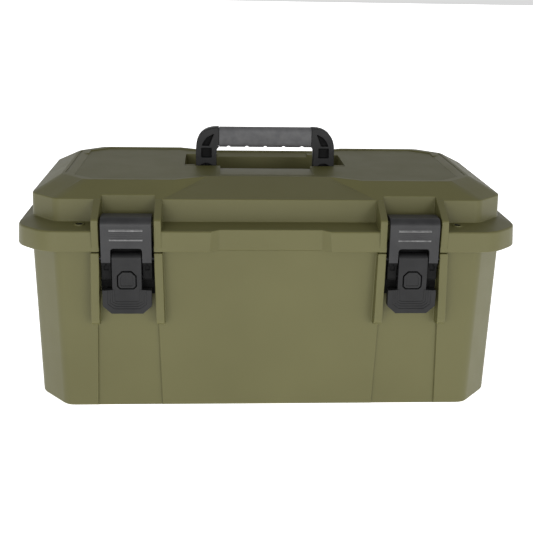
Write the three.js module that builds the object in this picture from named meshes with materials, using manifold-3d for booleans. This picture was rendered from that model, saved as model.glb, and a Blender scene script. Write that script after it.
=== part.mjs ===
// A latched carry box: a moulded tub and a hinged lid, two over-centre latches and a folding handle.
// Millimetres, +Z up, X across the front, -Y towards the front. The origin is at the centre of the base.
import * as THREE from 'three';
import { ConvexGeometry } from 'three/addons/geometries/ConvexGeometry.js';
import { mergeVertices } from 'three/addons/utils/BufferGeometryUtils.js';
import Module from 'manifold-3d';

const wasm = await Module();
wasm.setup();

// ---------------------------------------------------------------- driving dimensions

const GAP = 0.3;                 // air between two separate pieces that touch
const WALL = 3.5;                // moulded wall
const PARTING = 167.3;           // top of the tub's flange

const TUB = {
  base: { halfX: 235.7, halfY: 136.0, cutX: 30.0, cutY: 36.0 },
  top: { halfX: 238.3, halfY: 138.5, cutX: 30.0, cutY: 36.0 },
  cornerBlend: 7,                // how far each corner of the outline is blended
  baseRound: 2.2,
  floor: 4.0,
  flange: 3.5,                   // thickness of the inward flange round the mouth
  mouth: { halfX: 226.0, halfY: 116.5, cutX: 24.0, cutY: 24.0 },
};

const STRIP = {                  // recessed panel below each latch
  depth: 2.5,
  innerLow: 108.1, innerHigh: 113.0,
  outerLow: 173.9, outerHigh: 168.5,
  top: 164.1,
};

const LID = {
  bottom: 167.6,
  rimTop: 188.2,
  ledgeTop: 190.4,               // where the ledge meets the upright wall
  hip: 213.1,                    // where the upright wall turns into the slope
  top: 227.5,
  rim: { halfX: 250.2, halfY: 147.0, cutX: 29.0, cutY: 28.0 },
  wall: { halfX: 239.0, halfY: 117.6, cutX: 27.8, cutY: 28.0 },
  hipLine: { halfX: 238.5, halfY: 117.0, cutX: 27.8, cutY: 28.0 },
  plateau: { halfX: 211.8, halfY: 92.2, cutX: 27.2, cutY: 25.2 },
  rimDraft: 1.6,
  setBackHalf: 50, setBackRun: 10, setBack: 6.5,
};

const SKIRT = {                  // ring inside the lid that carries the gasket
  outer: { halfX: 237.0, halfY: 126.2, cutX: 27.0, cutY: 27.0 },
  inner: { halfX: 231.0, halfY: 120.2, cutX: 27.0, cutY: 27.0 },
  ceiling: 185.0,
};

const FACET = {                  // long shallow facet in the middle of the front and back slopes
  lowHalf: 106.5, highHalf: 62, highY: 74, wedgeHalf: 96,
};

const PANEL = { depth: 1.5, edge: 198.5, rampEdge: 204.5, groove: 208.0 };

const WELL = {                   // recess that the folded handle lies in
  halfX: 88, front: -10, back: 56, floor: 205,
  rampHalf: 49, rampFront: -57, rampLow: 223.0,
  backRampHalf: 52, backRampFrom: 52, backRampTo: 70, backRampLow: 222.3,
};

const HANDLE = {
  outer: 75.5, inner: 53, top: 266.5, underside: 246, thick: 17,
  elbow: 24, pivotZ: 219, heel: 8.5, pin: 2.5, eye: 9.2, boss: 5.2,
  flange: 6, windowDepth: 4.6, collar: 2.0,
};

const LATCH = {
  centre: 140, pocketHalf: 26.5, ribWidth: 8.2,
  clawHalf: 24.4, forkHalf: 15.2, forkTop: 171.8, leverHalf: 14.3,
  front: -150.0, plate: 3.8, hookTop: 201.5, hookBend: 8, noseY: -126.6,
  pinB: { y: -144.0, z: 160.5 }, // lever on the tub
  pinC: { y: -142.0, z: 142.0 }, // claw on the lever
  pin: 1.8,
  tabHalf: 23.9, tabTop: 130.5, tabBottom: 106.3, tabFront: -152.6,
  base: { half: 26.2, front: -137.3, back: -136.2, low: 122, high: 177 },
  button: { half: 8.4, gap: 1.1, low: 132, high: 148.3, proud: 0.5, thick: 3.0, seat: 4.6, dish: 2.4 },
};

const HINGE = { y: 155, z: 172, radius: 7, pin: 2.5, centre: 140, lidHalf: 10, gap: 0.6, tubWidth: 14 };

// The pocket in the lid's front that a claw lies in: its back wall, the step over the ledge and its height.
const POCKET = { open: -165, low: 150, back: -111.3, step: 196, high: 232 };

// The side view of the two ribs beside a pocket.
const LID_RIB = { back: -121, front: -147.2, shoulder: 196.5, crown: 200.6, crest: -117.5, root: -112 };

const EYELET = { x: 187, y: -126, radius: 3.3, collar: 5.2 };

// ---------------------------------------------------------------- materials

const olive = new THREE.MeshStandardMaterial({ color: 0x75704c, roughness: 0.55, metalness: 0 });
const blackPlastic = new THREE.MeshStandardMaterial({ color: 0x2a2a2b, roughness: 0.5, metalness: 0 });
const rubber = new THREE.MeshStandardMaterial({ color: 0x505052, roughness: 0.8, metalness: 0 });
const gasketRubber = new THREE.MeshStandardMaterial({ color: 0x1c1c1c, roughness: 0.9, metalness: 0 });
const steel = new THREE.MeshStandardMaterial({ color: 0xb8b8b8, roughness: 0.3, metalness: 1 });

// ---------------------------------------------------------------- solids

// A closed three.js geometry as a manifold solid.
function solid(geometry) {
  const bare = geometry.clone();
  for (const name of Object.keys(bare.attributes)) {
    if (name !== 'position') bare.deleteAttribute(name);
  }
  const merged = mergeVertices(bare, 1e-4);
  return new wasm.Manifold(new wasm.Mesh({
    numProp: 3,
    vertProperties: new Float32Array(merged.attributes.position.array),
    triVerts: new Uint32Array(merged.index.array),
  }));
}

// A manifold solid as a named three.js mesh.
function piece(name, body, material) {
  const mesh = body.getMesh();
  const geometry = new THREE.BufferGeometry();
  geometry.setAttribute('position', new THREE.BufferAttribute(new Float32Array(mesh.vertProperties), 3));
  geometry.setIndex(new THREE.BufferAttribute(new Uint32Array(mesh.triVerts), 1));
  geometry.computeVertexNormals();
  const result = new THREE.Mesh(geometry, material);
  result.name = name;
  return result;
}

function union(bodies) {
  return bodies.reduce((sum, body) => sum.add(body));
}

function cut(body, cutters) {
  return cutters.reduce((rest, cutter) => rest.subtract(cutter), body);
}

// Points [a, b] as Vector2 in counter-clockwise order.
function ccw(points) {
  const list = points.map(([a, b]) => new THREE.Vector2(a, b));
  return THREE.ShapeUtils.isClockWise(list) ? list.reverse() : list;
}

function extrude(points, depth, basis, origin) {
  const geometry = new THREE.ExtrudeGeometry(new THREE.Shape(ccw(points)), { depth, bevelEnabled: false });
  geometry.applyMatrix4(new THREE.Matrix4().makeBasis(...basis).setPosition(...origin));
  return solid(geometry);
}

const X = new THREE.Vector3(1, 0, 0);
const Y = new THREE.Vector3(0, 1, 0);
const Z = new THREE.Vector3(0, 0, 1);

// Outline in (y, z), running along X.
function prismX(points, x0, x1) {
  return extrude(points, x1 - x0, [Y, Z, X], [x0, 0, 0]);
}

// Outline in (x, z), running along Y.
function prismY(points, y0, y1) {
  return extrude(points, y1 - y0, [X, Z, Y.clone().negate()], [0, y1, 0]);
}

// Outline in (x, y), running along Z.
function prismZ(points, z0, z1) {
  return extrude(points, z1 - z0, [X, Y, Z], [0, 0, z0]);
}

function box(x0, x1, y0, y1, z0, z1) {
  const geometry = new THREE.BoxGeometry(x1 - x0, y1 - y0, z1 - z0);
  geometry.translate((x0 + x1) / 2, (y0 + y1) / 2, (z0 + z1) / 2);
  return solid(geometry);
}

// A round bar along X.
function barX(radius, x0, x1, y, z, sides = 24) {
  const geometry = new THREE.CylinderGeometry(radius, radius, x1 - x0, sides);
  geometry.rotateZ(Math.PI / 2);
  geometry.translate((x0 + x1) / 2, y, z);
  return solid(geometry);
}

// A round bar along Z.
function barZ(radius, z0, z1, x, y, sides = 20) {
  const geometry = new THREE.CylinderGeometry(radius, radius, z1 - z0, sides);
  geometry.rotateX(Math.PI / 2);
  geometry.translate(x, y, (z0 + z1) / 2);
  return solid(geometry);
}

// A round bar along Y.
function barY(radius, y0, y1, x, z, sides = 28) {
  const geometry = new THREE.CylinderGeometry(radius, radius, y1 - y0, sides);
  geometry.translate(x, (y0 + y1) / 2, z);
  return solid(geometry);
}

function hull(points) {
  return solid(new ConvexGeometry(points.map((p) => new THREE.Vector3(...p))));
}

// The same outline with every corner blended over a given length of its two edges.
function blended(points, length, steps = 4) {
  const result = [];
  const count = points.length;
  for (let i = 0; i < count; i += 1) {
    const corner = new THREE.Vector2(...points[i]);
    const before = new THREE.Vector2(...points[(i + count - 1) % count]);
    const after = new THREE.Vector2(...points[(i + 1) % count]);
    const from = reach(corner, before, length);
    const to = reach(corner, after, length);
    const curve = new THREE.QuadraticBezierCurve(from, corner, to);
    for (const p of curve.getPoints(steps)) result.push([p.x, p.y]);
  }
  return result;
}

// The point on the way from one corner to the next, at most 0.45 of the way along.
function reach(from, to, length) {
  const distance = from.distanceTo(to);
  return from.clone().lerp(to, Math.min(length / distance, 0.45));
}

// An eight-cornered outline: a rectangle with its corners cut off.
function octagon({ halfX, halfY, cutX, cutY }, inset = 0) {
  const x = halfX - inset;
  const y = halfY - inset;
  const cx = cutX - 0.42 * inset;
  const cy = cutY - 0.42 * inset;
  return [
    [-x + cx, -y], [x - cx, -y], [x, -y + cy], [x, y - cy],
    [x - cx, y], [-x + cx, y], [-x, y - cy], [-x, -y + cy],
  ];
}

// A body through a stack of outlines with equal point counts, lowest first.
function loft(sections) {
  const count = sections[0].outline.length;
  const positions = [];
  for (const { z, outline } of sections) {
    for (const [x, y] of outline) positions.push(x, y, z);
  }
  const index = [];
  for (let level = 0; level + 1 < sections.length; level += 1) {
    for (let i = 0; i < count; i += 1) {
      const a = level * count + i;
      const b = level * count + ((i + 1) % count);
      index.push(a, b, b + count, a, b + count, a + count);
    }
  }
  const caps = (outline) => THREE.ShapeUtils.triangulateShape(outline.map((p) => new THREE.Vector2(...p)), []);
  for (const [a, b, c] of caps(sections[0].outline)) index.push(c, b, a);
  const last = (sections.length - 1) * count;
  for (const [a, b, c] of caps(sections.at(-1).outline)) index.push(last + a, last + b, last + c);
  const geometry = new THREE.BufferGeometry();
  geometry.setAttribute('position', new THREE.Float32BufferAttribute(positions, 3));
  geometry.setIndex(index);
  return solid(geometry);
}

// An octagonal stage of a loft, with blended corners.
function stage(z, size, blend, inset = 0) {
  return { z, outline: blended(octagon(size, inset), blend) };
}

// Both mirror images, left and right.
function bothSides(make) {
  return [-1, 1].map((side) => make(side));
}

// The range from |x| = a to |x| = b on one side, in ascending order.
function span(side, a, b) {
  return side < 0 ? [-b, -a] : [a, b];
}

// ---------------------------------------------------------------- tub

// The tub's front wall leans out by this much per millimetre of height.
const FRONT_LEAN = (TUB.top.halfY - TUB.base.halfY) / PARTING;

// The recessed panel below a latch, or the inside pad behind it, as a body leaning with the front wall.
function stripBody(side, depth, grow) {
  const low = [STRIP.innerLow - grow, STRIP.outerLow + grow];
  const high = [STRIP.innerHigh - grow, STRIP.outerHigh + grow];
  const outline = [
    [side * low[0], -5], [side * low[1], -5], [side * high[1], STRIP.top], [side * high[0], STRIP.top],
  ];
  const face = -TUB.base.halfY + depth;
  const body = prismY(outline, face - 30, face);
  const lean = THREE.MathUtils.radToDeg(Math.atan(FRONT_LEAN));
  return body.translate(0, -face, 0).rotate(lean, 0, 0).translate(0, face, 0);
}

// A rib that flanks a latch on the tub: it widens downwards and ends in a rounded foot.
function tubRib(side, towardCentre) {
  const inner = LATCH.pocketHalf;
  const place = (z, front, slant) => {
    const a = inner + slant;
    const b = inner + slant + LATCH.ribWidth;
    const offset = towardCentre ? [-b, -a] : [a, b];
    const xs = offset.map((d) => side * (LATCH.centre + d)).sort((p, q) => p - q);
    return { z, outline: [[xs[0], front], [xs[1], front], [xs[1], -134], [xs[0], -134]] };
  };
  return loft([
    place(91.5, -140.5, 1.4),
    place(92.6, -145.6, 1.4),
    place(95.5, -149.0, 1.3),
    place(100.0, -150.5, 1.2),
    place(PARTING - 0.9, -147.2, 0),
  ]);
}

function tubKnuckles(side) {
  const start = HINGE.lidHalf + HINGE.gap;
  const end = start + HINGE.tubWidth;
  const bracket = [
    [135, 128], [138.8, 128], [HINGE.y + HINGE.radius, HINGE.z - 3], [HINGE.y, HINGE.z], [149.5, HINGE.z],
    [147.8, 166.4], [135, 166.4],
  ];
  return [[-end, -start], [start, end]].map(([a, b]) => {
    const x0 = side * HINGE.centre + a;
    const x1 = side * HINGE.centre + b;
    return barX(HINGE.radius, x0, x1, HINGE.y, HINGE.z).add(prismX(bracket, x0, x1));
  });
}

function tubShell() {
  const { base, top, cornerBlend, baseRound, floor, flange, mouth } = TUB;
  const outside = loft([
    stage(0, base, cornerBlend, baseRound),
    stage(baseRound * 0.4, base, cornerBlend, baseRound * 0.35),
    stage(baseRound, base, cornerBlend),
    stage(PARTING, top, cornerBlend),
  ]);
  const pads = bothSides((side) => stripBody(side, STRIP.depth + WALL, WALL));
  const store = cut(loft([
    stage(floor, base, cornerBlend, WALL + 1.5),
    stage(floor + 4, base, cornerBlend, WALL),
    stage(PARTING - flange - 8, top, cornerBlend, WALL),
    { z: PARTING - flange, outline: blended(octagon(mouth), cornerBlend) },
  ]), pads);
  const opening = loft([
    stage(PARTING - flange - 1, mouth, cornerBlend),
    stage(PARTING + 5, mouth, cornerBlend),
  ]);
  const ribs = bothSides((side) => union([tubRib(side, true), tubRib(side, false)]));
  const knuckles = bothSides((side) => union(tubKnuckles(side)));
  const strips = bothSides((side) => stripBody(side, STRIP.depth, 0));
  const leverBores = bothSides((side) => {
    const [x0, x1] = span(side, LATCH.centre - LATCH.pocketHalf - 4, 190);
    return barX(LATCH.pin + GAP, x0, x1, LATCH.pinB.y, LATCH.pinB.z);
  });
  const hingeBores = bothSides((side) => hingeBore(side));
  const seats = bothSides((side) => baseSeat(side));
  const walls = cut(outside, [...strips, ...seats]);
  return cut(union([walls, ...ribs, ...knuckles]), [store, opening, ...leverBores, ...hingeBores]);
}

// The shallow seat in the tub's wall and flange that the latch base plate stands in.
function baseSeat(side) {
  const { half, back, low } = LATCH.base;
  const x = side * LATCH.centre;
  return box(x - half - GAP, x + half + GAP, -150, back + GAP, low - GAP, PARTING + 5);
}

function hingeBore(side) {
  const reachX = HINGE.lidHalf + HINGE.gap + HINGE.tubWidth + 1;
  const centre = side * HINGE.centre;
  return barX(HINGE.pin + GAP, centre - reachX, centre + reachX, HINGE.y, HINGE.z);
}

// ---------------------------------------------------------------- lid

// What the long front (side -1) or back (side 1) facet takes off the slope.
function facetCutter(side) {
  const { lowHalf, highHalf, highY, wedgeHalf } = FACET;
  const points = [];
  for (const x of [-1, 1]) {
    points.push([x * lowHalf, side * LID.hipLine.halfY, LID.hip]);
    points.push([x * lowHalf, side * (LID.hipLine.halfY + 4), LID.hip]);
    points.push([x * highHalf, side * highY, LID.top], [x * highHalf, side * highY, LID.top + 6]);
    points.push([x * wedgeHalf, side * LID.plateau.halfY, LID.top]);
    points.push([x * wedgeHalf, side * (LID.plateau.halfY + 6), LID.top + 6]);
  }
  return hull(points);
}

// The room inside the lid: as wide as the gasket skirt at the bottom, then a wall inside the outer faces.
function lidHollow() {
  const blend = 12;
  const body = loft([
    stage(LID.bottom - 5, SKIRT.inner, blend),
    stage(SKIRT.ceiling, SKIRT.inner, blend),
    stage(SKIRT.ceiling + 2, LID.wall, blend, WALL),
    stage(LID.hip - 2, LID.hipLine, blend, WALL),
    stage(LID.top - WALL - PANEL.depth, LID.plateau, blend, WALL - 1),
  ]);
  const lowered = [-1, 1].map((side) => facetCutter(side).translate(0, -side * 1, -WALL - 1.5));
  return cut(body, lowered);
}

// The outside of the lid before anything but the slopes' facets and the rim's set-back is cut into it.
function lidOutside() {
  const blend = 14;
  const small = 6;
  const body = loft([
    stage(LID.bottom, LID.rim, blend, 0.5),
    stage(LID.bottom + 0.8, LID.rim, blend),
    stage(LID.rimTop - 1.2, LID.rim, blend, LID.rimDraft - 0.5),
    stage(LID.rimTop, LID.rim, blend, LID.rimDraft + 0.6),
    stage(LID.ledgeTop, LID.wall, small),
    stage(LID.hip, LID.hipLine, small),
    stage(LID.top, LID.plateau, small),
  ]);
  const inner = LID.setBackHalf;
  const outer = inner + LID.setBackRun;
  const y = -LID.rim.halfY;
  const setBack = prismZ(
    [[-outer, y - 5], [-outer, y], [-inner, y + LID.setBack],
      [inner, y + LID.setBack], [outer, y], [outer, y - 5]],
    LID.bottom - 5, LID.ledgeTop + 2);
  return cut(body, [setBack, facetCutter(-1), facetCutter(1)]);
}

// The shallow panel sunk into the plateau, with ramps at its ends and a thin groove outside each ramp.
function panelCutters() {
  const { depth, edge, rampEdge, groove } = PANEL;
  const bed = LID.top - depth;
  const quarter = [[66, 70.5], [96, 87.5], [177, 87.5], [edge, 69]];
  const outline = [
    ...quarter,
    ...quarter.map(([x, y]) => [x, -y]).reverse(),
    ...quarter.map(([x, y]) => [-x, -y]),
    ...quarter.map(([x, y]) => [-x, y]).reverse(),
  ];
  const ramps = bothSides((side) => hull([
    [side * (edge - 1), -65, bed], [side * (edge - 1), 50, bed],
    [side * rampEdge, -65, LID.top], [side * rampEdge, 50, LID.top],
    [side * (edge - 1), -65, LID.top + 2], [side * (edge - 1), 50, LID.top + 2],
    [side * rampEdge, -65, LID.top + 2], [side * rampEdge, 50, LID.top + 2],
  ]));
  const grooves = bothSides((side) => {
    const [x0, x1] = span(side, groove - 1, groove + 1);
    return box(x0, x1, -60, 62, LID.top - 0.8, LID.top + 2);
  });
  return [prismZ(outline, bed, LID.top + 2), ...ramps, ...grooves];
}

// The handle well with its front and back finger ramps, or the block of wall round it when grown.
function wellBody(grow) {
  const { halfX, front, back, floor, rampHalf, rampFront, rampLow } = WELL;
  const top = LID.top + 2;
  const well = box(-halfX - grow, halfX + grow, front - grow, back + grow, floor - grow, top);
  const bed = LID.top - PANEL.depth;
  const frontRamp = prismX(
    [[rampFront, bed - grow], [front, rampLow - grow], [front, top], [rampFront, top]],
    -rampHalf - grow, rampHalf + grow);
  const { backRampHalf, backRampFrom, backRampTo, backRampLow } = WELL;
  const backRamp = prismX(
    [[backRampFrom, backRampLow - grow], [backRampTo, bed - grow], [backRampTo, top], [backRampFrom, top]],
    -backRampHalf - grow, backRampHalf + grow);
  return union([well, frontRamp, backRamp]);
}

function wellBoss(side) {
  const [x0, x1] = span(side, HANDLE.outer + 0.7, WELL.halfX + 1);
  return barX(6, x0, x1, 0, HANDLE.pivotZ);
}

function handleBore(side, radius) {
  const [x0, x1] = span(side, HANDLE.inner + 5, WELL.halfX + 2.6);
  return barX(radius, x0, x1, 0, HANDLE.pivotZ);
}

// The pocket that a latch claw lies in, or the block of wall round it when grown.
function latchPocket(side, grow) {
  const skirt = -SKIRT.outer.halfY + grow;
  const { open, low, high } = POCKET;
  const back = POCKET.back + grow;
  const step = POCKET.step - grow;
  const outline = [[open, low], [skirt, low], [skirt, step], [back - 1, step], [back, high], [open, high]];
  const half = LATCH.pocketHalf + grow;
  const centre = side * LATCH.centre;
  return prismX(outline, centre - half, centre + half);
}

// The two lid ribs beside a pocket: a sloping back that turns down into the rim.
function lidRibs(side) {
  const { back, front, shoulder, crown, crest, root } = LID_RIB;
  const outline = [
    [back, LID.bottom], [front + 0.3, LID.bottom], [front, shoulder], [front + 0.6, crown - 1.6],
    [front + 2.7, crown], [crest, LID.hip], [root, LID.hip],
  ];
  const centre = side * LATCH.centre;
  const a = LATCH.pocketHalf;
  const b = a + LATCH.ribWidth - 1.2;
  return union([prismX(outline, centre - b, centre - a + 1), prismX(outline, centre + a - 1, centre + b)]);
}

function lidKnuckle(side) {
  const centre = side * HINGE.centre;
  const half = HINGE.lidHalf;
  const arm = [
    [143, 169], [149, 169], [HINGE.y, HINGE.z - HINGE.radius], [HINGE.y + 2, HINGE.z + 2],
    [HINGE.y, HINGE.z + HINGE.radius], [143, 184],
  ];
  return barX(HINGE.radius, centre - half, centre + half, HINGE.y, HINGE.z)
    .add(prismX(arm, centre - half, centre + half));
}

function ring(outer, inner, z0, z1) {
  const blend = 12;
  return loft([stage(z0, outer, blend), stage(z1, outer, blend)])
    .subtract(loft([stage(z0 - 1, inner, blend), stage(z1 + 1, inner, blend)]));
}

function resized(size, by) {
  return { ...size, halfX: size.halfX + by, halfY: size.halfY + by };
}

const GASKET = { inset: 1.6, width: 2.4, height: 3.0 };

function gasketRing(grow) {
  const outer = resized(SKIRT.outer, -GASKET.inset + grow);
  const inner = resized(SKIRT.outer, -GASKET.inset - GASKET.width - grow);
  return ring(outer, inner, LID.bottom - (grow ? 1 : 0), LID.bottom + GASKET.height + grow);
}

function lidShell() {
  const channel = ring(resized(LID.rim, -WALL - 0.4), SKIRT.outer, LID.bottom - 5, SKIRT.ceiling);
  const setBackFace = -LID.rim.halfY + LID.setBack;
  const centreChannel = box(-70, 70, -148, setBackFace + WALL, LID.bottom - 6, SKIRT.ceiling + 1);
  const pocketWalls = bothSides((side) => latchPocket(side, 3));
  const hollow = cut(lidHollow(), [wellBody(3), ...pocketWalls]);
  const shell = cut(lidOutside(), [hollow, channel.subtract(centreChannel)]);
  const ribs = bothSides((side) => lidRibs(side));
  const knuckles = bothSides((side) => lidKnuckle(side));
  const eyelets = bothSides((side) => barZ(EYELET.radius, 175, 200, side * EYELET.x, EYELET.y));
  const collars = bothSides((side) => barZ(EYELET.collar, 186, 190.6, side * EYELET.x, EYELET.y));
  const bosses = bothSides((side) => wellBoss(side));
  const solidLid = cut(union([shell, ...ribs, ...knuckles, ...collars]), [
    ...panelCutters(), wellBody(0), ...eyelets, gasketRing(GAP),
    ...bothSides((side) => latchPocket(side, 0)),
  ]);
  return cut(union([solidLid, ...bosses]), [
    ...bothSides((side) => handleBore(side, HANDLE.pin)),
    ...bothSides((side) => hingeBore(side)),
  ]);
}

// ---------------------------------------------------------------- handle

// The rigid arch: two arms and a bar, with moulded windows in the front of each arm.
function handleFrame() {
  const { outer, inner, top, underside, thick, elbow, pivotZ, heel } = HANDLE;
  const half = thick / 2;
  const low = pivotZ - heel;
  const arch = blended([[-outer, low], [outer, low], [outer, top], [-outer, top]], elbow, 8);
  const feet = [[-outer, low], [outer, low], [outer, low + 30], [-outer, low + 30]];
  const body = prismY(arch, -half, half).add(prismY(feet, -half, half));
  const opening = blended([[-inner, 190], [inner, 190], [inner, underside], [-inner, underside]], 5, 3);
  const seat = box(-GRIP.half, GRIP.half, -thick, thick, underside - 6, top + 3.5);
  const gripSeat = cut(seat, [gripCore(0), ...gripCollars(0)]);
  const heelBores = bothSides((side) => handleBore(side, HANDLE.pin + GAP));
  const windows = bothSides((side) => armWindows(side));
  return cut(body, [prismY(opening, -30, 30), ...windows, gripSeat, ...heelBores]).intersect(heelRound(thick));
}

// The windows moulded into the front of an arm: a curved one in the elbow, a square one below it and a round
// one about the pivot boss.
function armWindows(side) {
  const { outer, inner, top, thick, elbow, flange, windowDepth, eye, boss, pivotZ } = HANDLE;
  const face = -thick / 2;
  const from = face - 1;
  const to = face + windowDepth;
  const square = box(...span(side, inner + 5.4, outer - flange), from, to, 234.4, 244.8);
  const turn = new THREE.EllipseCurve(outer - elbow, top - elbow, elbow - flange, elbow - flange, 0.27, 1.32);
  const arc = turn.getPoints(7).map((p) => [side * p.x, p.y]);
  const elbowWindow = prismY([...arc, [side * (inner + 8), 247.3]], from, to);
  const middle = side * (outer + inner) / 2;
  const ringCut = barY(eye, from, to, middle, pivotZ).subtract(barY(boss, from - 1, to + 1, middle, pivotZ));
  return union([square, elbowWindow, ringCut]);
}

// The flat bar that the grip is moulded over.
function gripCore(grow) {
  const { coreHalf, coreLow, coreHigh } = GRIP;
  return box(-60, 60, -coreHalf - grow, coreHalf + grow, coreLow - grow, coreHigh + grow);
}

// The short collars that the ends of the grip slip over.
function gripCollars(grow) {
  const { top, underside, thick, collar } = HANDLE;
  const half = thick / 2 - 1.6 + grow;
  const low = underside + 1.4 - grow;
  const high = top - 1.8 + grow;
  return bothSides((side) => {
    const [x0, x1] = span(side, GRIP.half - collar - grow, GRIP.half + 2);
    return box(x0, x1, -half, half, low, high);
  });
}

// Rounds the lower ends of the arms about the pivot.
function heelRound(thick) {
  const { pivotZ, top } = HANDLE;
  const half = thick / 2;
  return barX(half, -100, 100, 0, pivotZ, 32).add(box(-100, 100, -half, half, pivotZ, top + 5));
}

const GRIP = {
  half: 50.5, notches: [-40, -20, 0, 20, 40], notch: 2.2,
  coreHalf: 4, coreLow: 252, coreHigh: 261,
};

// The soft grip: a rounded bar round the core, with finger notches under it.
function handleGrip() {
  const { top, underside, thick } = HANDLE;
  const half = thick / 2 + 0.6;
  const low = underside - 0.6;
  const outline = blended([[-half, low], [half, low], [half, top], [-half, top]], 6, 5);
  const body = prismX(outline, -GRIP.half + GAP, GRIP.half - GAP);
  const notches = GRIP.notches.map((x) => {
    const geometry = new THREE.CylinderGeometry(GRIP.notch, GRIP.notch, 40, 12);
    geometry.translate(x, 0, low - 0.4);
    return solid(geometry);
  });
  return cut(body, [gripCore(GAP), ...gripCollars(GAP), ...notches]);
}

// ---------------------------------------------------------------- latches

// Side view of the claw: hook, plate and the arms that run down and back to the claw pin.
function clawProfile() {
  const { front, plate, hookTop, hookBend, noseY, pinC } = LATCH;
  const back = front + plate;
  const eye = 4.4;
  const eyeArc = new THREE.EllipseCurve(pinC.y, pinC.z, eye, eye, -Math.PI * 0.95, Math.PI * 0.25)
    .getPoints(8).map((p) => [p.x, p.y]);
  const bendCurve = new THREE.EllipseCurve(
    front + hookBend, hookTop - hookBend, hookBend, hookBend, Math.PI / 2, Math.PI);
  const bend = bendCurve.getPoints(7).map((p) => [p.x, p.y]);
  return [
    ...eyeArc, [-142.2, 150.5], [back, 158], [back, hookTop - plate - 5], [back + 5, hookTop - plate],
    [noseY - 4, hookTop - plate], [noseY - 3, hookTop - plate - 3], [noseY, hookTop - plate - 3],
    [noseY, hookTop - 1.5], [noseY - 1.5, hookTop], ...bend, [front, 157.5], [-146.4, 152.5], [-145.8, 147],
  ];
}

function latchClaw(side) {
  const { centre, clawHalf, forkHalf, forkTop, front } = LATCH;
  const x = side * centre;
  const body = prismX(clawProfile(), x - clawHalf, x + clawHalf);
  const fork = blended(
    [[x - forkHalf, 120], [x + forkHalf, 120], [x + forkHalf, forkTop], [x - forkHalf, forkTop]], 3, 3);
  const forkCut = prismY(fork, -170, -125).add(
    prismY([[x - forkHalf, 120], [x + forkHalf, 120], [x + forkHalf, 140], [x - forkHalf, 140]], -170, -125));
  const ridges = [180.6, 190].map((z) => prismX(
    [[front + 1, z - 1.2], [front - 0.7, z - 0.9], [front - 1.1, z - 0.3], [front + 1, z + 1.3]],
    x - 16, x + 16));
  const arms = [-1, 1].map((arm) => {
    const middle = x + arm * (forkHalf + clawHalf) / 2;
    const outline = [
      [middle - 2.4, 149], [middle + 2.4, 149], [middle + 2.4, 153], [middle, 156.6], [middle - 2.4, 153],
    ];
    return prismY(outline, -160, -144.6);
  });
  const bore = barX(LATCH.pin + GAP, x - 30, x + 30, LATCH.pinC.y, LATCH.pinC.z);
  return cut(union([body, ...ridges]), [forkCut, ...arms, bore]);
}

// Front view of the pull tab: shoulders, upright sides and cut corners. Inset copies bound its terraces,
// which are open at the top.
function tabOutline(x, inset) {
  const { tabHalf, tabTop, tabBottom } = LATCH;
  const half = tabHalf - inset;
  const low = tabBottom + inset;
  const top = inset > 0 ? tabTop + 30 : tabTop;
  const cornerZ = 114 + inset * 0.42;
  const cornerX = 15.4 - inset * 0.58;
  return [
    [x - half, top], [x - half, cornerZ], [x - cornerX, low],
    [x + cornerX, low], [x + half, cornerZ], [x + half, top],
  ];
}

// How far in and how deep each terrace of the pull tab lies.
const TERRACES = [[5.0, 0.6], [7.4, 1.1], [9.6, 1.6], [11.8, 2.1]];

function latchLever(side) {
  const { centre, leverHalf, front, tabFront, pinB, pinC, button } = LATCH;
  const x = side * centre;
  const roll = barX(6, x - leverHalf, x + leverHalf, pinB.y, pinB.z, 32);
  const stem = prismX(
    [[front, pinB.z], [front - 0.5, 150], [front - 0.5, 120], [-144, 120], [-143.5, pinB.z]],
    x - leverHalf, x + leverHalf);
  const lug = barX(4.6, x - leverHalf, x + leverHalf, pinC.y, pinC.z);
  const lugFoot = prismX(
    [[-147, 150], [-147, 134], [-144, 134], [-138.5, 139], [-138.5, 145], [-144, 150]],
    x - leverHalf, x + leverHalf);
  const tab = prismY(tabOutline(x, 0), tabFront, -144.5);
  const terraces = TERRACES.map(([inset, depth]) => prismY(tabOutline(x, inset), -170, tabFront + depth));
  const seat = prismY(buttonOutline(x, button.gap), -170, front + button.seat);
  const bores = [pinB, pinC].map(({ y, z }) => barX(LATCH.pin + GAP, x - 30, x + 30, y, z));
  return cut(union([roll, stem, lug, lugFoot, cut(tab, terraces)]), [seat, ...bores]);
}

// How much the legs of a 45-degree corner cut grow when the whole outline moves out by one.
const CORNER_OFFSET = 2 - Math.SQRT2;

// Front view of the push button: upper corners cut, lower ones less.
function buttonOutline(x, grow) {
  const { half, low, high } = LATCH.button;
  const a = half + grow;
  const top = high + grow;
  const bottom = low - grow;
  const large = 4.2 + grow * CORNER_OFFSET;
  const small = 2.2 + grow * CORNER_OFFSET;
  return [
    [x - a, bottom + small], [x - a + small, bottom], [x + a - small, bottom], [x + a, bottom + small],
    [x + a, top - large], [x + a - large, top], [x - a + large, top], [x - a, top - large],
  ];
}

function latchButton(side) {
  const x = side * LATCH.centre;
  const { proud, thick, dish } = LATCH.button;
  const face = LATCH.front - 0.5 - proud;
  const cap = prismY(buttonOutline(x, 0), face, face + thick);
  return cap.subtract(prismY(buttonOutline(x, -dish), face - 1, face + 0.5));
}

function buttonSpring(side) {
  const x = side * LATCH.centre;
  const z = (LATCH.button.low + LATCH.button.high) / 2;
  const back = LATCH.front + LATCH.button.seat - GAP;
  const profile = [
    new THREE.Vector2(2.6, 0), new THREE.Vector2(4.4, 0), new THREE.Vector2(4.4, 1), new THREE.Vector2(2.6, 1),
    new THREE.Vector2(2.6, 0),
  ];
  const geometry = new THREE.LatheGeometry(profile, 24);
  geometry.translate(x, back - 1, z);
  return solid(geometry);
}

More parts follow.
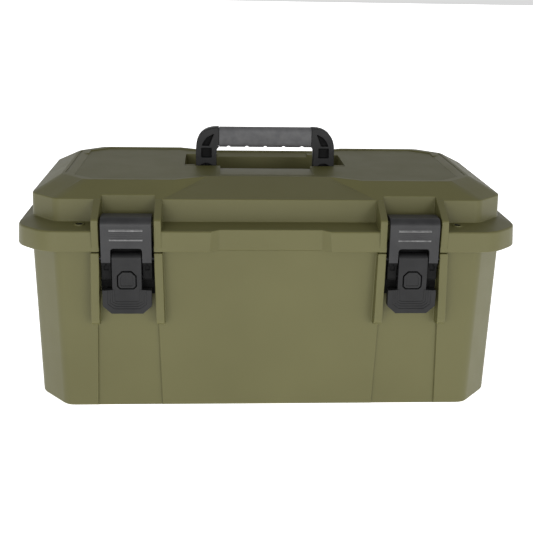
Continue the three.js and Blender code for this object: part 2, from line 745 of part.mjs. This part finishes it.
// The plate behind each latch. It stands in a seat in the tub and rises a little above the flange.
function latchBase(side) {
  const { half, front, back, low, high } = LATCH.base;
  const x = side * LATCH.centre;
  return prismY(
    [[x - half, low], [x + half, low], [x + half, high - 3], [x + half - 3, high], [x - half + 3, high],
      [x - half, high - 3]],
    front, back);
}

function latchPin(side, place, half) {
  const x = side * LATCH.centre;
  return barX(LATCH.pin, x - half, x + half, place.y, place.z);
}

// ---------------------------------------------------------------- assembly

const assembly = new THREE.Group();

assembly.add(piece('tub_shell', tubShell(), olive));
assembly.add(piece('lid_shell', lidShell(), olive));
assembly.add(piece('lid_gasket', gasketRing(0), gasketRubber));
assembly.add(piece('handle_frame', handleFrame(), blackPlastic));
assembly.add(piece('handle_grip', handleGrip(), rubber));

for (const [side, word] of [[-1, 'left'], [1, 'right']]) {
  const hingeHalf = HINGE.lidHalf + HINGE.gap + HINGE.tubWidth;
  const hingeX = side * HINGE.centre;
  assembly.add(piece(`hinge_pin_${word}`,
    barX(HINGE.pin, hingeX - hingeHalf, hingeX + hingeHalf, HINGE.y, HINGE.z), steel));
  const [pin0, pin1] = span(side, HANDLE.inner + 5 + GAP, WELL.halfX + 2);
  assembly.add(piece(`handle_pin_${word}`, barX(HANDLE.pin - GAP, pin0, pin1, 0, HANDLE.pivotZ), steel));
  assembly.add(piece(`latch_base_${word}`, latchBase(side), blackPlastic));
  assembly.add(piece(`latch_claw_${word}`, latchClaw(side), blackPlastic));
  assembly.add(piece(`latch_lever_${word}`, latchLever(side), blackPlastic));
  assembly.add(piece(`latch_button_${word}`, latchButton(side), blackPlastic));
  assembly.add(piece(`button_spring_${word}`, buttonSpring(side), steel));
  assembly.add(piece(`lever_pin_${word}`, latchPin(side, LATCH.pinB, LATCH.pocketHalf + 3.6), steel));
  assembly.add(piece(`claw_pin_${word}`, latchPin(side, LATCH.pinC, LATCH.clawHalf - 0.2), steel));
}

export default assembly;
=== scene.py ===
"""A latched carry box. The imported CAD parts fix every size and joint; this script adds the surfaces."""

import math

import bmesh
import bpy
from mathutils import Matrix, Vector


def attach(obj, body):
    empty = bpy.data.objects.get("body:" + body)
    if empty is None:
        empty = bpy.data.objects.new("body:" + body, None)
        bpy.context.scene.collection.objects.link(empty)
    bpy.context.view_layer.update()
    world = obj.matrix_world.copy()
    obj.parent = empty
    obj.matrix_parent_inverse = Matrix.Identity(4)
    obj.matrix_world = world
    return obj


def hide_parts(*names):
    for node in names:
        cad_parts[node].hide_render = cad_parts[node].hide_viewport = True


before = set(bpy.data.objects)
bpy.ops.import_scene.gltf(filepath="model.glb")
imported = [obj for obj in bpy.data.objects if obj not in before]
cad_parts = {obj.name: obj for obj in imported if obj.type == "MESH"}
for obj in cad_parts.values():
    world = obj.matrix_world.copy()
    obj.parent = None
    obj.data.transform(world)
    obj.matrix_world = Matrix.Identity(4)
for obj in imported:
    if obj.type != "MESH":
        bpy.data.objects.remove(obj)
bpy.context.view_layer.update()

MM = 0.001
SIDES = ("left", "right")

# Camera, fitted to the photograph's perspective.
CAMERA_AT = Vector((-0.0538, -1.0295, 0.4282))
CAMERA_YAW, CAMERA_PITCH, CAMERA_ROLL = (math.radians(a) for a in (-3.2166, -17.279, -1.0092))
CAMERA_LENS = 63.92

# Plastic edges are rounded by this much.
EDGE_SHELL = 0.9 * MM
EDGE_FINE = 0.45 * MM
SHARP = math.radians(24)
CREASE = math.radians(2.5)
WIDE_FACE = 8 * MM
STRAIGHT_ON = 0.87
NARROW_CORNER = math.radians(35)
NARROW_WEIGHT = 0.12
BEVEL_SHARE = 0.42

# The floor gives this much light of its own, as a lit studio table does.
FLOOR_GLOW = 1.0
FLOOR_HALF = 14.0

# The sunk face of the lid's top lies between these heights.
PANEL_LOW, PANEL_HIGH = 0.2255, 0.2265

# The front of the handle's arms, the front of the claws and the height below which the claws' arms get
# painted shade.
ARM_FACE = -8.5 * MM
CLAW_FACE = -150.0 * MM
CLAW_SHADE = 156.0 * MM

# How far each latch's middle is from the box's middle.
LATCH_CENTRE = 140.0 * MM

# The fine ribs between the claw's raised lines: heights, half length and pitch.
RIB_LOW, RIB_HIGH, RIB_HALF, RIB_PITCH = 182.4 * MM, 188.4 * MM, 16.0 * MM, 2.0 * MM

EYELET_AT = (187.0 * MM, -126.0 * MM)
EYELET_RADIUS = 4.0 * MM


# ---------------------------------------------------------------- materials


class Shader:
    """A small helper that builds a node material around one Principled shader."""

    def __init__(self, name):
        self.material = bpy.data.materials.new(name)
        self.material.use_nodes = True
        self.nodes = self.material.node_tree.nodes
        self.links = self.material.node_tree.links
        self.surface = self.nodes["Principled BSDF"]
        self.place = self.nodes.new("ShaderNodeTexCoord").outputs["Object"]

    def set(self, **values):
        for name, value in values.items():
            self.surface.inputs[name.replace("_", " ")].default_value = value

    def node(self, kind, **settings):
        node = self.nodes.new(kind)
        for name, value in settings.items():
            setattr(node, name, value)
        return node

    def noise(self, scale, detail=4.0, roughness=0.5, source=None):
        node = self.node("ShaderNodeTexNoise")
        node.inputs["Scale"].default_value = scale
        node.inputs["Detail"].default_value = detail
        node.inputs["Roughness"].default_value = roughness
        self.links.new(source or self.place, node.inputs["Vector"])
        return node.outputs["Fac"]

    def ramp(self, value, low, high, low_at=0.35, high_at=0.65):
        node = self.node("ShaderNodeValToRGB")
        for element, place, colour in zip(node.color_ramp.elements, (low_at, high_at), (low, high)):
            element.position = place
            element.color = colour
        self.links.new(value, node.inputs["Fac"])
        return node.outputs["Color"]

    def span(self, value, low, high):
        node = self.node("ShaderNodeMapRange")
        node.inputs["To Min"].default_value = low
        node.inputs["To Max"].default_value = high
        self.links.new(value, node.inputs["Value"])
        return node.outputs["Result"]

    def math(self, operation, a, b):
        node = self.node("ShaderNodeMath", operation=operation)
        for socket, value in zip(node.inputs, (a, b)):
            if isinstance(value, (int, float)):
                socket.default_value = value
            else:
                self.links.new(value, socket)
        return node.outputs["Value"]

    def colour(self, output):
        self.links.new(output, self.surface.inputs["Base Color"])

    def roughness(self, output):
        self.links.new(output, self.surface.inputs["Roughness"])

    def bump(self, *layers):
        """Each layer is a height output, its strength and its depth in metres."""
        normal = None
        for height, strength, depth in layers:
            node = self.node("ShaderNodeBump")
            node.inputs["Strength"].default_value = strength
            node.inputs["Distance"].default_value = depth
            self.links.new(height, node.inputs["Height"])
            if normal is not None:
                self.links.new(normal, node.inputs["Normal"])
            normal = node.outputs["Normal"]
        self.links.new(normal, self.surface.inputs["Normal"])


def rgb(red, green, blue):
    return (red, green, blue, 1.0)


def moulded_olive(name, dark, light, grain, rough):
    """Satin moulded plastic: slow colour drift, fine spark-eroded grain, a little waviness."""
    shader = Shader(name)
    shader.set(Specular_IOR_Level=0.32)
    shader.colour(shader.ramp(shader.noise(7.0, 3.0), dark, light))
    fine = shader.noise(grain, 3.0, 0.6)
    shader.roughness(shader.span(shader.noise(38.0, 5.0), rough - 0.05, rough + 0.06))
    shader.bump((shader.noise(14.0, 1.0), 0.12, 0.6 * MM), (fine, 0.22, 0.12 * MM))
    return shader.material


def moulded_black(name):
    shader = Shader(name)
    shader.set(Specular_IOR_Level=0.25)
    dark, light = rgb(0.0075, 0.0075, 0.008), rgb(0.012, 0.012, 0.0125)
    shader.colour(shader.ramp(shader.noise(60.0, 4.0), dark, light))
    shader.roughness(shader.span(shader.noise(90.0, 5.0), 0.38, 0.5))
    shader.bump((shader.noise(2600.0, 2.0), 0.25, 0.08 * MM))
    return shader.material


def ribbed_black(name):
    """The claw's plastic: as the other black parts, with fine level ribs moulded between its raised lines."""
    shader = Shader(name)
    shader.set(Specular_IOR_Level=0.34)
    shader.colour(shader.ramp(shader.noise(60.0, 4.0), rgb(0.015, 0.015, 0.016), rgb(0.022, 0.022, 0.023)))
    shader.roughness(shader.span(shader.noise(90.0, 5.0), 0.36, 0.48))
    split = shader.node("ShaderNodeSeparateXYZ")
    shader.links.new(shader.place, split.inputs["Vector"])
    height = split.outputs["Z"]
    wave = shader.math("SINE", shader.math("MULTIPLY", height, math.tau / RIB_PITCH), 0.0)
    above = shader.math("GREATER_THAN", height, RIB_LOW)
    below = shader.math("LESS_THAN", height, RIB_HIGH)
    offset = shader.math("SUBTRACT", shader.math("ABSOLUTE", split.outputs["X"], 0.0), LATCH_CENTRE)
    within = shader.math("LESS_THAN", shader.math("ABSOLUTE", offset, 0.0), RIB_HALF)
    ribs = wave
    for limit in (within, above, below):
        ribs = shader.math("MULTIPLY", ribs, limit)
    shader.bump((ribs, 0.55, 0.16 * MM), (shader.noise(2600.0, 2.0), 0.25, 0.08 * MM))
    return shader.material


def shadow_black(name):
    """The black plastic made darker and matt, with a coarse texture: painted shade for recesses, holes and
    the latches' dark ground.
    """
    shader = Shader(name)
    shader.set(Specular_IOR_Level=0.12)
    shader.colour(shader.ramp(shader.noise(80.0, 4.0), rgb(0.003, 0.003, 0.003), rgb(0.006, 0.006, 0.006)))
    shader.roughness(shader.span(shader.noise(120.0, 5.0), 0.6, 0.75))
    shader.bump((shader.noise(900.0, 3.0), 0.4, 0.15 * MM))
    return shader.material


def painted_highlight_black(name):
    """Black plastic painted paler, as a painted highlight on the claw's raised grip lines."""
    shader = Shader(name)
    shader.colour(shader.ramp(shader.noise(220.0, 5.0), rgb(0.10, 0.10, 0.10), rgb(0.20, 0.20, 0.20)))
    shader.roughness(shader.span(shader.noise(300.0, 4.0), 0.3, 0.42))
    shader.bump((shader.noise(1600.0, 2.0), 0.25, 0.06 * MM))
    return shader.material


def black_oxide(name):
    shader = Shader(name)
    shader.set(Metallic=0.8)
    shader.colour(shader.ramp(shader.noise(160.0, 4.0), rgb(0.012, 0.012, 0.013), rgb(0.02, 0.02, 0.021)))
    shader.roughness(shader.span(shader.noise(700.0, 3.0), 0.35, 0.5))
    shader.bump((shader.noise(2400.0, 2.0), 0.2, 0.03 * MM))
    return shader.material


def grip_rubber(name):
    shader = Shader(name)
    shader.colour(shader.ramp(shader.noise(120.0, 4.0), rgb(0.07, 0.07, 0.073), rgb(0.095, 0.095, 0.098)))
    shader.roughness(shader.span(shader.noise(400.0, 3.0), 0.55, 0.7))
    shader.bump((shader.noise(1500.0, 3.0), 0.5, 0.12 * MM))
    return shader.material


def soft_rubber(name):
    shader = Shader(name)
    shader.colour(shader.ramp(shader.noise(200.0, 2.0), rgb(0.012, 0.012, 0.012), rgb(0.02, 0.02, 0.02)))
    shader.roughness(shader.span(shader.noise(300.0, 2.0), 0.7, 0.85))
    shader.bump((shader.noise(1800.0, 2.0), 0.3, 0.1 * MM))
    return shader.material


def drawn_steel(name):
    """Pin and spring steel with fine turning marks."""
    shader = Shader(name)
    shader.set(Metallic=1.0)
    shader.colour(shader.ramp(shader.noise(160.0, 4.0), rgb(0.5, 0.5, 0.5), rgb(0.66, 0.66, 0.65)))
    shader.roughness(shader.span(shader.noise(700.0, 3.0), 0.22, 0.4))
    shader.bump((shader.noise(2400.0, 2.0), 0.25, 0.03 * MM))
    return shader.material


OLIVE = moulded_olive("olive_plastic", rgb(0.092, 0.087, 0.030), rgb(0.102, 0.097, 0.035), 2600.0, 0.46)
PANEL = moulded_olive("olive_panel", rgb(0.080, 0.077, 0.022), rgb(0.089, 0.086, 0.026), 1900.0, 0.52)
BLACK = moulded_black("black_plastic")
CLAW = ribbed_black("black_ribbed")
# Painted shade: a near-black matt copy of the black plastic.
SHADOW = shadow_black("black_painted_shade")
# Painted highlight: a paler copy of the black plastic.
PAINTED_HIGHLIGHT = painted_highlight_black("black_painted_highlight")
OXIDE = black_oxide("black_oxide_steel")
GRIP = grip_rubber("grip_rubber")
GASKET = soft_rubber("gasket_rubber")
STEEL = drawn_steel("steel")


# ---------------------------------------------------------------- meshes


def seam_planes(node):
    """The planes that part a piece's flat faces through their holes, as (axis number, place in mm)."""
    if node == "tub_shell":
        across = [(0, x) for x in (0.0, -140.0, 140.0)]
        return across + [(1, 0.0), (1, 155.0), (1, -144.0), (2, 172.0), (2, 160.5)]
    if node == "lid_shell":
        across = [(0, side * x) for x in (0.0, 52.0, 88.0, 140.0, 187.0) for side in (-1, 1)]
        return across + [(1, 20.0), (1, 155.0), (2, 172.0), (2, 219.0)]
    if node == "handle_frame":
        arms = [(0, x) for x in (-64.0, 64.0, 0.0)]
        return arms + [(2, z) for z in (240.0, 252.0, 219.0, 256.5)] + [(1, 0.0)]
    if node == "handle_grip":
        return [(1, 0.0), (2, 256.5)]
    if node == "lid_gasket":
        return [(0, 0.0), (1, 0.0)]
    if node.startswith("button_spring"):
        return [(0, -140.0 if node.endswith("left") else 140.0), (2, 140.15)]
    if node.startswith(("latch_claw", "latch_lever", "latch_button", "latch_base")):
        centre = -140.0 if node.endswith("left") else 140.0
        across = [(0, centre + x) for x in (0.0, -19.8, 19.8)]
        return across + [(1, -142.0), (1, -144.0), (2, 142.0), (2, 160.5), (2, 185.0)]
    return []


def clean_mesh(node, name):
    """A copy of a CAD node's mesh with its split points joined and its flat faces made whole.

    A flat face with a hole in it is parted along a seam first, so that no face has to wrap round a hole.
    """
    bm = bmesh.new()
    bm.from_mesh(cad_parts[node].data)
    bmesh.ops.remove_doubles(bm, verts=bm.verts, dist=1e-5)
    for axis, place in seam_planes(node):
        normal = [0.0, 0.0, 0.0]
        normal[axis] = 1.0
        point = [place * MM * step for step in normal]
        everything = bm.verts[:] + bm.edges[:] + bm.faces[:]
        cut = bmesh.ops.bisect_plane(bm, geom=everything, dist=2e-6, plane_co=point, plane_no=normal)
        for part in cut["geom_cut"]:
            if isinstance(part, bmesh.types.BMEdge):
                part.seam = True
    bmesh.ops.dissolve_limit(
        bm, angle_limit=math.radians(0.8), verts=bm.verts, edges=bm.edges, delimit={"SEAM"})
    mesh = bpy.data.meshes.new(name)
    bm.to_mesh(mesh)
    bm.free()
    if "custom_normal" in mesh.attributes:
        mesh.attributes.remove(mesh.attributes["custom_normal"])
    return mesh


def room_across(face, edge):
    """The least distance from an edge straight across one of its faces to the far side of that face."""
    start, end = (vert.co for vert in edge.verts)
    along = (end - start).normalized()
    inward = face.normal.cross(along)
    if inward.dot(face.calc_center_median() - start) < 0:
        inward = -inward
    least = 1.0
    for other in face.edges:
        if other == edge or set(other.verts) & set(edge.verts):
            continue
        a, b = (vert.co - start for vert in other.verts)
        ax, bx = a.dot(along), b.dot(along)
        ay, by = a.dot(inward), b.dot(inward)
        if max(ax, bx) < 0 or min(ax, bx) > edge.calc_length():
            continue
        nearest = min(ay, by)
        if nearest > 1e-6:
            least = min(least, nearest)
    return least


def room_along(edge):
    """The shortest of the sharp edges that meet this one at a clear angle."""
    least = 1.0
    for vert in edge.verts:
        own = (edge.other_vert(vert).co - vert.co).normalized()
        for other in vert.link_edges:
            if other == edge or other.calc_face_angle(0.0) < SHARP:
                continue
            if abs(own.dot((other.other_vert(vert).co - vert.co).normalized())) < STRAIGHT_ON:
                least = min(least, other.calc_length())
    return least


def sharpest_corner(edge):
    """The smallest angle that the edge's own faces make at its two ends."""
    least = math.pi
    for loop in edge.link_loops:
        least = min(least, loop.calc_angle(), loop.link_loop_next.calc_angle())
    return least


def weigh_edges(mesh, width):
    """Gives each sharp edge a bevel weight that keeps its rounding inside the faces beside it."""
    bm = bmesh.new()
    bm.from_mesh(mesh)
    layer = bm.edges.layers.float.new("bevel_weight_edge")
    for edge in bm.edges:
        angle = edge.calc_face_angle(0.0)
        if len(edge.link_faces) != 2 or angle < CREASE:
            continue
        across = min(room_across(face, edge) for face in edge.link_faces)
        if angle < SHARP and across < WIDE_FACE:
            continue
        room = min(across, room_along(edge))
        most = NARROW_WEIGHT if sharpest_corner(edge) < NARROW_CORNER else 1.0
        edge[layer] = min(most, BEVEL_SHARE * room / width)
    bm.to_mesh(mesh)
    bm.free()


def refined(node, name, body, material, edge, segments=3):
    """A finished piece in a CAD node's place: same shape, with rounded edges and smooth shading."""
    mesh = clean_mesh(node, name)
    weigh_edges(mesh, edge)
    mesh.materials.clear()
    mesh.materials.append(material)
    mesh.shade_smooth()
    piece = bpy.data.objects.new(name, mesh)
    bpy.context.scene.collection.objects.link(piece)
    bevel = piece.modifiers.new("edges", "BEVEL")
    bevel.width = edge
    bevel.segments = segments
    bevel.limit_method = "WEIGHT"
    bevel.use_clamp_overlap = False
    bevel.miter_outer = "MITER_ARC"
    weighted = piece.modifiers.new("normals", "WEIGHTED_NORMAL")
    weighted.keep_sharp = False
    weighted.weight = 80
    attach(piece, body)
    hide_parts(node)
    return piece


def face_material(piece, material, wanted):
    """Gives every face for which wanted(centre, normal) holds a second material."""
    piece.data.materials.append(material)
    for face in piece.data.polygons:
        if wanted(face.center, face.normal):
            face.material_index = len(piece.data.materials) - 1


def in_sunk_panel(centre, normal):
    return normal.z > 0.99 and PANEL_LOW < centre.z < PANEL_HIGH


# The padlock eyelets' bores, coloured with painted shade.
def eyelet_bore_painted_shade(centre, normal):
    across = math.hypot(abs(centre.x) - EYELET_AT[0], centre.y - EYELET_AT[1])
    return across < EYELET_RADIUS and abs(normal.z) < 0.5


# The faces inside the handle arms' windows, coloured with painted shade.
def arm_window_painted_shade(centre, normal):
    return ARM_FACE + 1 * MM < centre.y < -0.5 * MM and normal.y < 0.5


# The claws' lower arms, coloured with painted shade.
def claw_arm_painted_shade(centre, normal):
    return centre.z < CLAW_SHADE and centre.y < -0.136


def claw_ridge_painted_highlight(centre, normal):
    """The outer faces of the claw's two raised lines, which stand proud of its front; they carry a painted
    highlight.
    """
    return centre.y < CLAW_FACE - 0.15 * MM and centre.z > 0.175


def make_pieces():
    refined("tub_shell", "tub", "tub", OLIVE, EDGE_SHELL)
    lid = refined("lid_shell", "lid", "lid", OLIVE, EDGE_SHELL)
    face_material(lid, PANEL, in_sunk_panel)
    # Painted shade in the eyelet bores.
    face_material(lid, SHADOW, eyelet_bore_painted_shade)
    refined("lid_gasket", "gasket", "lid", GASKET, EDGE_FINE)
    arch = refined("handle_frame", "handle_arch", "handle", BLACK, EDGE_FINE)
    # Painted shade inside the handle's arm windows.
    face_material(arch, SHADOW, arm_window_painted_shade)
    refined("handle_grip", "grip", "handle", GRIP, EDGE_FINE)
    for side in SIDES:
        refined(f"hinge_pin_{side}", f"hinge_rod_{side}", "tub", STEEL, EDGE_FINE)
        refined(f"handle_pin_{side}", f"handle_rod_{side}", "lid", STEEL, EDGE_FINE)
        # The latch base plates are coloured with painted shade, so the ground behind each latch reads dark.
        refined(f"latch_base_{side}", f"base_{side}", "tub", SHADOW, EDGE_FINE)
        claw = refined(f"latch_claw_{side}", f"claw_{side}", f"claw_{side}", CLAW, EDGE_FINE)
        # Painted shade on the claw's lower arms.
        face_material(claw, SHADOW, claw_arm_painted_shade)
        # A painted highlight on the claw's raised lines.
        face_material(claw, PAINTED_HIGHLIGHT, claw_ridge_painted_highlight)
        refined(f"latch_lever_{side}", f"lever_{side}", f"lever_{side}", BLACK, EDGE_FINE)
        refined(f"latch_button_{side}", f"button_{side}", f"button_{side}", BLACK, EDGE_FINE)
        refined(f"button_spring_{side}", f"spring_{side}", f"lever_{side}", STEEL, 0.2 * MM)
        refined(f"lever_pin_{side}", f"lever_rod_{side}", "tub", OXIDE, EDGE_FINE)
        refined(f"claw_pin_{side}", f"claw_rod_{side}", f"lever_{side}", OXIDE, EDGE_FINE)


# ---------------------------------------------------------------- stage


def add_floor():
    mesh = bpy.data.meshes.new("floor")
    half = FLOOR_HALF
    corners = [(-half, -half, 0.0), (half, -half, 0.0), (half, half, 0.0), (-half, half, 0.0)]
    mesh.from_pydata(corners, [], [(0, 1, 2, 3)])
    floor = bpy.data.objects.new("floor", mesh)
    bpy.context.scene.collection.objects.link(floor)
    shader = Shader("floor")
    shader.colour(shader.ramp(shader.noise(3.0), rgb(0.9, 0.9, 0.9), rgb(0.93, 0.93, 0.93)))
    shader.set(Roughness=0.9, Emission_Color=rgb(1.0, 1.0, 1.0), Emission_Strength=FLOOR_GLOW)
    mesh.materials.append(shader.material)


def add_light(name, at, towards, size, power):
    data = bpy.data.lights.new(name, "AREA")
    data.shape = "RECTANGLE"
    data.size, data.size_y = size
    data.energy = power
    light = bpy.data.objects.new(name, data)
    light.location = at
    light.rotation_euler = (Vector(towards) - Vector(at)).to_track_quat("-Z", "Y").to_euler()
    bpy.context.scene.collection.objects.link(light)


def add_lights():
    """Soft light that is bright around the horizon and dim overhead, with two large low lights in front."""
    world = bpy.data.worlds.new("studio")
    bpy.context.scene.world = world
    world.use_nodes = True
    nodes = world.node_tree.nodes
    links = world.node_tree.links
    direction = nodes.new("ShaderNodeTexCoord").outputs["Generated"]
    split = nodes.new("ShaderNodeSeparateXYZ")
    height = nodes.new("ShaderNodeMapRange")
    height.interpolation_type = "SMOOTHSTEP"
    height.inputs["From Min"].default_value = 0.10
    height.inputs["From Max"].default_value = 0.62
    height.inputs["To Min"].default_value = 0.70
    height.inputs["To Max"].default_value = 0.50
    nodes["Background"].inputs["Color"].default_value = rgb(1.0, 1.0, 1.0)
    links.new(direction, split.inputs["Vector"])
    links.new(split.outputs["Z"], height.inputs["Value"])
    links.new(height.outputs["Result"], nodes["Background"].inputs["Strength"])
    centre = (0.0, 0.0, 0.12)
    add_light("front_left", (-0.8, -2.3, 0.55), centre, (1.3, 0.7), 16.0)
    add_light("front_right", (1.2, -2.1, 0.55), centre, (1.0, 0.7), 13.0)


def add_camera():
    data = bpy.data.cameras.new("camera")
    data.sensor_width = 36.0
    data.lens = CAMERA_LENS
    camera = bpy.data.objects.new("camera", data)
    turn = (
        Matrix.Rotation(CAMERA_YAW, 4, "Z")
        @ Matrix.Rotation(CAMERA_PITCH, 4, "X")
        @ Matrix.Rotation(CAMERA_ROLL, 4, "Y")
        @ Matrix.Rotation(math.radians(90), 4, "X")
    )
    camera.matrix_world = Matrix.Translation(CAMERA_AT) @ turn
    bpy.context.scene.collection.objects.link(camera)
    bpy.context.scene.camera = camera


add_camera()
add_floor()
add_lights()
make_pieces()
bpy.context.scene.view_settings.view_transform = "Standard"
